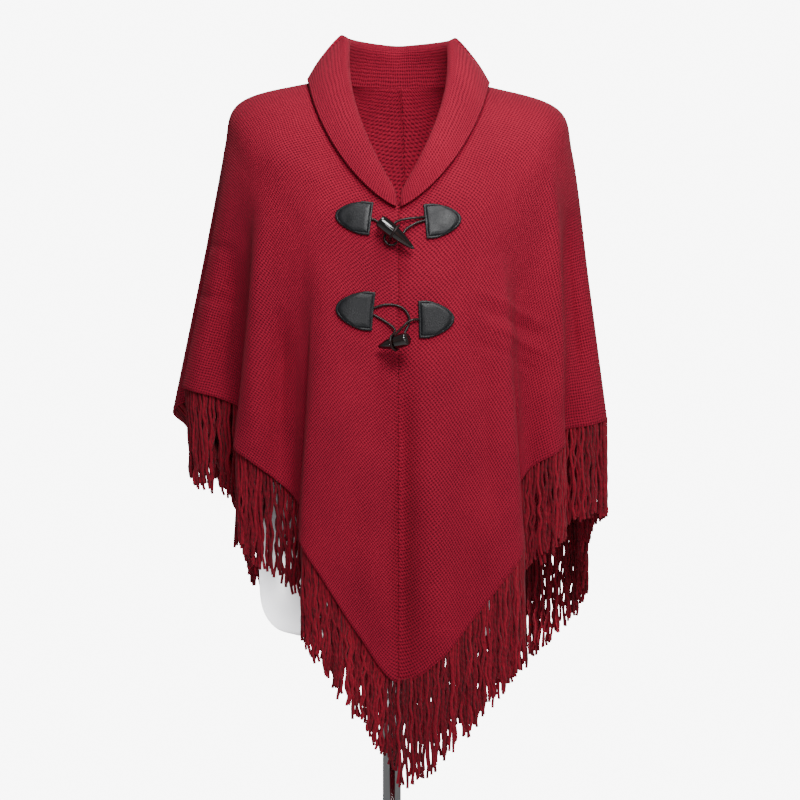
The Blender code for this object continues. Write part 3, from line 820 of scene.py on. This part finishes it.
def make_fringe(name, first, last, layers):
    """One stretch of fringe. Each layer is its spacing along the hem and how far inside the hem it starts."""
    curve = bpy.data.curves.new(name, "CURVE")
    curve.dimensions, curve.use_fill_caps = "3D", True
    curve.bevel_depth, curve.bevel_resolution = YARN_RADIUS, 1
    places = [first + 0.01 + (last - first - 0.02) * i / 800 for i in range(801)]
    run = lengths_along([hem_at(place)[1] for place in places])
    strands = 0
    for spacing, behind in layers:
        count = int(run[-1] / spacing)
        locks = [random.gauss(0, 0.0032) for _ in range(count // LOCK + 2)]
        for k in range(count):
            along_hem = (k + random.uniform(-0.25, 0.25)) / (count - 1) * run[-1]
            at = float(np.interp(along_hem, run, places))
            points = strand_points(at, behind, locks[k // LOCK] - 0.0010 * (k % LOCK - 1))
            spline = curve.splines.new("POLY")
            spline.points.add(len(points) - 1)
            for knot, co in zip(spline.points, points):
                knot.co = (*co, 1.0)
            strands += 1
    drawn = add_object(name, curve)
    mesh = shaped_mesh(drawn)
    bpy.data.objects.remove(drawn)
    made = add_object(name + "_yarn", mesh)
    mesh.materials.clear()
    mesh.materials.append(yarn)
    mesh.shade_smooth()
    print(f"{name}: {strands} strands, {sum(len(f.vertices) - 2 for f in mesh.polygons)} triangles")
    return adopt(made, "knit", name)


FRONT_LAYERS = ((0.0048, 0.0004), (0.0052, 0.0036), (0.0110, 0.0066))
BEHIND_LAYERS = ((0.0048, 0.0032), (0.0052, 0.0064), (0.0110, 0.0090))
fringe_front_left = make_fringe("fringe_front_left", 0, 15, FRONT_LAYERS)
fringe_back_left = make_fringe("fringe_back_left", 15, BACK_SEAM, FRONT_LAYERS)
fringe_back_right = make_fringe("fringe_back_right", BACK_SEAM, 40, FRONT_LAYERS)
fringe_front_right = make_fringe("fringe_front_right", 40, len(HEM), BEHIND_LAYERS)

# %% [markdown]
# ## Cutting facts
#
# Each panel's strip is as long as its hem edge and 0.43 m wide before its ends are mitred. The lines below
# work out, for each panel and the collar, the smaller of its drawn area and its flat strip's area, and keep
# nothing.

for piece, cut, trims in (
    (left_panel, left_cut, [fringe_front_left, fringe_back_left]),
    (right_panel, right_cut, [fringe_front_right, fringe_back_right]),
):
    min(cut[2], cut[0] * cut[1])
    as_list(trims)
min(collar_area, collar_length * BAND_WIDTH)

# %% [markdown]
# ## Leather tabs
#
# Each tab is a D of thick leather, sewn flat on the knit. Its place comes from the cloth itself: a ray from
# in front of the garment finds the panel's surface at each point of the tab, and the leather lies just clear
# of that. The middle is domed a little, because the edge is pressed down where it is stitched.


# %% Tabs on the cloth
def cloth_front(objects):
    """A lookup for the outer face of the cloth at (x, z)."""
    bpy.context.view_layer.update()
    graph = bpy.context.evaluated_depsgraph_get()
    trees = [BVHTree.FromObject(obj, graph) for obj in objects]

    def look(x, z):
        hits = [tree.ray_cast(Vector((x, -1, z)), Vector((0, 1, 0))) for tree in trees]
        return min((hit[0] for hit in hits if hit[0]), key=lambda point: point.y)

    return look


front = cloth_front([left_panel, right_panel])


def on_cloth(x, z, lift):
    """The point in front of the cloth at (x, z), measured from the garment's middle, lifted off it."""
    point = front(x + CLOTH_X, z)
    return Vector((point.x, point.y - lift, z))


def make_tab(name, x, z, side, tilt, length, height, thickness=0.0022):
    lean, shoulder = math.radians(tilt), 0.16 * length

    def place(a, b):
        across = (b - 0.5) * 2
        nose = shoulder + (length - shoulder) * max(1 - abs(across) ** 1.9, 0.0) ** 0.70
        along, up = a * nose, across * height / 2
        edge = min(a * nose, (1 - a) * nose, (1 - abs(across)) * height / 2)
        dome = 0.0012 * min(1.0, edge / 0.007) ** 0.5 - 0.0007 * math.exp(-(((edge - 0.0022) / 0.0007) ** 2))
        px = x + side * (along * math.cos(lean) - up * math.sin(lean))
        pz = z + along * math.sin(lean) + up * math.cos(lean)
        return on_cloth(px, pz, thickness / 2 + 0.0007 + dome)

    made = cloth_grid(
        name + "_leather", 48, 56, place, lambda a, b: (a * length, b * height), bridle_leather, thickness
    )
    rim = made.modifiers.new("burnished_edge", "BEVEL")
    rim.width, rim.segments, rim.limit_method, rim.angle_limit = 0.0006, 3, "ANGLE", math.radians(50)
    return adopt(made, "leather", name)


make_tab("tab_upper_right", -0.0313, 1.1718, -1, 7.0, 0.0410, 0.0375)
make_tab("tab_upper_left", 0.0309, 1.1686, 1, 5.5, 0.0410, 0.0392)
make_tab("tab_lower_right", -0.0287, 1.0650, -1, 5.5, 0.0425, 0.0435)
make_tab("tab_lower_left", 0.0236, 1.0560, 1, 1.5, 0.0398, 0.0415)

# %% [markdown]
# ## Horn toggles
#
# A toggle is turned and tapered like the tip of a horn, so the Screw modifier can make it: it spins half of
# the outline round an axis. The blunt end keeps a small rounded rim from the buffing wheel.

# %% Toggles
TOGGLE_RADIUS = 0.0080
TOGGLE_OUTLINE = (
    (0.0, 0.80),
    (0.03, 0.92),
    (0.15, 1.0),
    (0.38, 0.97),
    (0.62, 0.76),
    (0.82, 0.48),
    (0.95, 0.22),
    (1.0, 0.0),
)
LACE = 0.0029


def toggle_radius(share):
    """The toggle's radius, share of the way from its thick end to its tip."""
    return TOGGLE_RADIUS * float(np.interp(share, *zip(*TOGGLE_OUTLINE)))


def make_toggle(name, ends):
    thick_end, tip = ends
    length = (tip - thick_end).length
    points = [Vector((r * TOGGLE_RADIUS, 0, (1 - s) * length)) for s, r in TOGGLE_OUTLINE]
    outline = [Vector((0, 0, length)), Vector((points[0].x * 0.82, 0, length))]
    outline += [open_curve(points, i / 40) for i in range(1, 41)]
    mesh = bpy.data.meshes.new(name)
    mesh.from_pydata(outline, [(i, i + 1) for i in range(len(outline) - 1)], [])
    made = add_object(name + "_horn", mesh)
    turned = made.modifiers.new("turned", "SCREW")
    turned.steps = turned.render_steps = 48
    turned.use_merge_vertices, turned.merge_threshold = True, 0.00002
    mesh.materials.append(horn)
    made.matrix_world = Matrix.Translation(tip) @ (
        thick_end - tip
    ).to_track_quat("Z", "Y").to_matrix().to_4x4()
    return adopt(made, "horn", name)


upper_ends = on_cloth(-0.0215, 1.1690, 0.0177), on_cloth(0.0182, 1.1358, 0.0139)
lower_ends = on_cloth(0.0105, 1.0331, 0.0340), on_cloth(-0.0233, 1.0245, 0.0100)
make_toggle("toggle_upper", upper_ends)
make_toggle("toggle_lower", lower_ends)
print("toggle lengths:", [round((b - a).length, 4) for a, b in (upper_ends, lower_ends)])

# %% [markdown]
# ## Laces
#
# Each toggle hangs from one tab on its own lace, which goes most of the way round its waist, and a loop from
# the other tab is hooked behind it. A lace is a curve with a round bevel. Its points either lie in front of
# the cloth or go round the toggle, and the wound part is worked out from the toggle's radius there.


# %% Laces
def beside_toggle(ends, share, turn):
    """Where a lace's middle goes to lie against the toggle: turn is 0 in front, 90 above and 180 behind."""
    axis = (ends[1] - ends[0]).normalized()
    above = axis.cross(Vector((0, 1, 0))).normalized()
    above = above if above.z > 0 else -above
    ahead = axis.cross(above).normalized()
    ahead = ahead if ahead.y < 0 else -ahead
    t = math.radians(turn)
    reach = toggle_radius(share) + LACE / 2 + 0.0003
    return ends[0].lerp(ends[1], share) + (ahead * math.cos(t) + above * math.sin(t)) * reach


def make_lace(name, points):
    curve = bpy.data.curves.new(name, "CURVE")
    curve.dimensions, curve.use_fill_caps = "3D", True
    curve.bevel_depth, curve.bevel_resolution = LACE / 2, 5
    count = (len(points) - 1) * 10 + 1
    spline = curve.splines.new("POLY")
    spline.points.add(count - 1)
    for i, knot in enumerate(spline.points):
        knot.co = (*open_curve(points, i / (count - 1)), 1.0)
    curve.materials.append(lace_leather)
    made = add_object(name + "_thong", curve)
    spline.use_smooth = True
    print(f"{name}: {lengths_along([open_curve(points, i / (count - 1)) for i in range(count)])[-1]:.3f} m")
    return adopt(made, "leather", name)


def laid(*points):
    """Points on the front of the cloth, from (x, z, lift) of each."""
    return [on_cloth(*point) for point in points]


wound = [beside_toggle(upper_ends, 0.390 + 0.060 * i / 7, 190 - 45 * i) for i in range(8)]
make_lace(
    "lace_upper_right",
    laid(
        (-0.0310, 1.1722, 0.0021),
        (-0.0240, 1.1686, 0.0021),
        (-0.0170, 1.1640, 0.0021),
        (-0.0105, 1.1592, 0.0023),
    ) + wound,
)
make_lace(
    "lace_upper_left",
    laid((0.0303, 1.1700, 0.0020), (0.0200, 1.1664, 0.0036), (0.0085, 1.1590, 0.0052))
    + [beside_toggle(upper_ends, 0.590, 180)]
    + laid((-0.0065, 1.1412, 0.0056), (-0.0130, 1.1430, 0.0056), (-0.0160, 1.1495, 0.0056))
    + [beside_toggle(upper_ends, 0.270, 180)]
    + laid(
        (-0.0020, 1.1680, 0.0066),
        (0.0085, 1.1712, 0.0062),
        (0.0200, 1.1726, 0.0050),
        (0.0303, 1.1742, 0.0022),
    ),
)
wound = [beside_toggle(lower_ends, 0.400 + 0.075 * i / 6, 110 - 45 * i) for i in range(7)]
make_lace(
    "lace_lower_left",
    laid(
        (0.0230, 1.0562, 0.0024), (0.0165, 1.0556, 0.0054), (0.0105, 1.0528, 0.0070), (0.0045, 1.0470, 0.0130)
    ) + wound,
)
make_lace(
    "lace_lower_right",
    laid(
        (-0.0282, 1.0690, 0.0020),
        (-0.0153, 1.0729, 0.0020),
        (-0.0010, 1.0717, 0.0020),
        (0.0070, 1.0672, 0.0020),
        (0.0118, 1.0595, 0.0020),
        (0.0118, 1.0510, 0.0020),
        (0.0080, 1.0425, 0.0040),
        (0.0040, 1.0345, 0.0070),
        (-0.0030, 1.0310, 0.0070),
        (-0.0065, 1.0365, 0.0050),
        (-0.0040, 1.0440, 0.0046),
        (-0.0085, 1.0490, 0.0030),
        (-0.0153, 1.0540, 0.0020),
        (-0.0282, 1.0615, 0.0020),
    ),
)

# %% [markdown]
# ## The dress form
#
# The form is a limbless torso, moulded in one piece. Its level sections are ovals whose width and depth
# change with height, and smooth curves run up through them. Its neck lifts out, which leaves a round-bottomed
# throat from front to back, so that a collar hangs open with nothing inside it. A Boolean cuts the throat.

# %% Torso
TORSO = (
    (0.684, 0.118, 0.072, 0.078),
    (0.690, 0.137, 0.089, 0.094),
    (0.702, 0.149, 0.099, 0.107),
    (0.720, 0.1565, 0.104, 0.113),
    (0.757, 0.1590, 0.107, 0.118),
    (0.800, 0.1570, 0.106, 0.117),
    (0.860, 0.1440, 0.102, 0.104),
    (0.915, 0.1240, 0.095, 0.088),
    (0.960, 0.1140, 0.091, 0.081),
    (1.005, 0.1190, 0.095, 0.085),
    (1.055, 0.1310, 0.110, 0.092),
    (1.100, 0.1410, 0.126, 0.097),
    (1.135, 0.1460, 0.131, 0.100),
    (1.170, 0.1510, 0.121, 0.102),
    (1.210, 0.1610, 0.102, 0.101),
    (1.252, 0.1780, 0.084, 0.096),
    (1.279, 0.1845, 0.071, 0.086),
    (1.299, 0.1810, 0.058, 0.073),
    (1.316, 0.1590, 0.046, 0.058),
    (1.3295, 0.1250, 0.036, 0.045),
    (1.338, 0.0900, 0.022, 0.030),
)
THROAT_HALF_WIDTH, THROAT_FLOOR_Z = 0.067, 1.150


def torso_section(share):
    """Height, half width, reach to the front and reach to the back, share of the way up."""
    first = open_curve([Vector((row[0], row[1], 0)) for row in TORSO], share)
    last = open_curve([Vector((row[2], row[3], 0)) for row in TORSO], share)
    return first.x, first.y, last.x, last.y


def make_throat():
    """The cutter: a half-round slot through the top of the torso, from front to back."""
    bm = bmesh.new()
    centre = THROAT_FLOOR_Z + THROAT_HALF_WIDTH
    arc = [math.pi + math.pi * i / 40 for i in range(41)]
    outline = [(THROAT_HALF_WIDTH * math.cos(t), centre + THROAT_HALF_WIDTH * math.sin(t)) for t in arc]
    outline += [(THROAT_HALF_WIDTH, 1.45), (-THROAT_HALF_WIDTH, 1.45)]
    face = bm.faces.new([bm.verts.new((x, -0.25, z)) for x, z in outline])
    pulled = bmesh.ops.extrude_face_region(bm, geom=[face])["geom"]
    bmesh.ops.translate(bm, verts=[v for v in pulled if isinstance(v, bmesh.types.BMVert)], vec=(0, 0.5, 0))
    bmesh.ops.recalc_face_normals(bm, faces=bm.faces)
    mesh = bpy.data.meshes.new("throat_cutter")
    bm.to_mesh(mesh)
    bm.free()
    return add_object("throat_cutter", mesh)


def make_torso():
    columns, rows = 128, 150
    sections = [torso_section(j / rows) for j in range(rows + 1)]
    bm = bmesh.new()
    bmesh.ops.create_grid(bm, x_segments=columns, y_segments=rows, size=0.5)
    for vertex in bm.verts:
        turn = (vertex.co.x + 0.5) * math.tau
        z, half, ahead, back = sections[round((vertex.co.y + 0.5) * rows)]
        vertex.co = (half * math.sin(turn), -math.cos(turn) * (ahead if math.cos(turn) > 0 else back), z)
    bmesh.ops.remove_doubles(bm, verts=bm.verts, dist=0.00002)
    bmesh.ops.holes_fill(bm, edges=[edge for edge in bm.edges if edge.is_boundary])
    bmesh.ops.recalc_face_normals(bm, faces=bm.faces)
    mesh = bpy.data.meshes.new("dress_form")
    bm.to_mesh(mesh)
    bm.free()
    made = add_object("dress_form_torso", mesh)
    cutter = make_throat()
    cut = made.modifiers.new("throat", "BOOLEAN")
    cut.operation, cut.object = "DIFFERENCE", cutter
    shaped = shaped_mesh(made)
    made.modifiers.clear()
    made.data = shaped
    bpy.data.objects.remove(cutter)
    shaped.materials.clear()
    shaped.materials.append(fibreglass)
    shaped.shade_smooth()
    shaped.set_sharp_from_angle(angle=math.radians(35))
    print("torso faces:", len(shaped.polygons))
    return adopt(made, "form", "form_torso")


make_torso()

# %% [markdown]
# ## The stand
#
# The stand is turned and plated steel: a heavy foot, a boss, a pole, and a socket under the form. Each is an
# outline spun round the pole's axis, with small rounded rims that catch the light.


# %% Stand
def turned_piece(name, node, outline, steps=96, round_at=0.0012):
    """An outline of (radius, height) corners, spun round the upright axis, with its corners rounded."""
    mesh = bpy.data.meshes.new(name)
    mesh.from_pydata([(r, 0, z) for r, z in outline], [(i, i + 1) for i in range(len(outline) - 1)], [])
    made = add_object(name, mesh)
    turned = made.modifiers.new("turned", "SCREW")
    turned.steps = turned.render_steps = steps
    turned.use_merge_vertices, turned.merge_threshold, turned.use_normal_flip = True, 0.00002, True
    if round_at:
        rim = made.modifiers.new("rounded_rims", "BEVEL")
        rim.width, rim.segments, rim.limit_method, rim.angle_limit = round_at, 3, "ANGLE", math.radians(40)
    mesh.materials.append(chrome)
    mesh.shade_smooth()
    return adopt(made, "chrome", node)


def turned_from(node, name, steps=96, round_at=0.0012):
    """A plain cylinder with the size of a node of the measured model."""
    low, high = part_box(node)
    radius = (high.x - low.x) / 2
    return turned_piece(
        name, node, [(0, low.z), (radius, low.z), (radius, high.z), (0, high.z)], steps, round_at
    )


low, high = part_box("stand_base")
turned_piece(
    "round_foot",
    "stand_base",
    [
        (0, 0),
        (high.x, 0),
        (high.x, high.z * 0.55),
        (high.x - 0.004, high.z * 0.92),
        (high.x - 0.012, high.z),
        (0, high.z),
    ],
    steps=160,
)
turned_from("stand_boss", "foot_boss")
turned_from("stand_pole", "upright_pole", round_at=0.0)
turned_from("form_socket", "socket_under_form")
turned_from("form_flange", "flange_under_form")

# %% [markdown]
# ## Floor and light
#
# The floor is a plain pale disc. The light is soft studio light: a large lamp high on the right, one near the
# collar and a small one above it that reaches inside the neck, weak ones in front and on the right, a narrow
# one that finds the form's hip under the fringe, a broad one behind, and a pale surrounding glow. Behind the
# garment the studio is bright white, so the camera sees the surroundings at full strength while they light
# the cloth only gently.

# %% Floor and lights
floor_mesh = bpy.data.meshes.new("floor")
bm = bmesh.new()
bmesh.ops.create_circle(bm, cap_ends=True, segments=96, radius=2.7)
bm.to_mesh(floor_mesh)
bm.free()
floor = add_object("floor", floor_mesh)
floor.location.z = -0.0005
floor_mesh.materials.append(new_material("matt_pale_floor", "f6f6f6", 0.8)[0])


def add_light(name, location, aim, size, power, spread=180):
    lamp = bpy.data.lights.new(name, "AREA")
    lamp.shape, lamp.size, lamp.energy, lamp.spread = "DISK", size, power, math.radians(spread)
    made = add_object(name, lamp)
    made.location = location
    made.rotation_euler = (Vector(aim) - Vector(location)).to_track_quat("-Z", "Y").to_euler()


add_light("key", (0.9, -2.3, 2.9), (0, 0, 1.25), 0.8, 24)
add_light("collar", (0.15, -1.25, 1.85), (0, 0, 1.29), 0.5, 12)
add_light("neck", (0.05, -0.38, 1.78), (0, 0.06, 1.3), 0.3, 2.6)
add_light("front", (0.0, -3.8, 1.6), (0, 0, 1.1), 0.9, 8)
add_light("right", (2.2, -1.0, 1.5), (0, 0, 1.0), 0.9, 9)
add_light("hip", (-2.2, -0.15, 0.62), (-0.13, 0.0, 0.68), 0.15, 0.25, spread=5)
add_light("behind", (0.6, 2.4, 2.2), (0, 0, 1.0), 1.8, 20)

world = bpy.data.worlds.new("studio")
bpy.context.scene.world = world
world.use_nodes = True
world.node_tree.nodes.clear()
rays = add_node(world.node_tree, "ShaderNodeLightPath")
strength = add_node(world.node_tree, "ShaderNodeMapRange", _0=rays.outputs["Is Camera Ray"], _3=0.20, _4=8.2)
glow = add_node(
    world.node_tree, "ShaderNodeBackground", Color=(1.0, 1.0, 1.0, 1.0), Strength=strength.outputs[0]
)
add_node(world.node_tree, "ShaderNodeOutputWorld", Surface=glow.outputs[0])
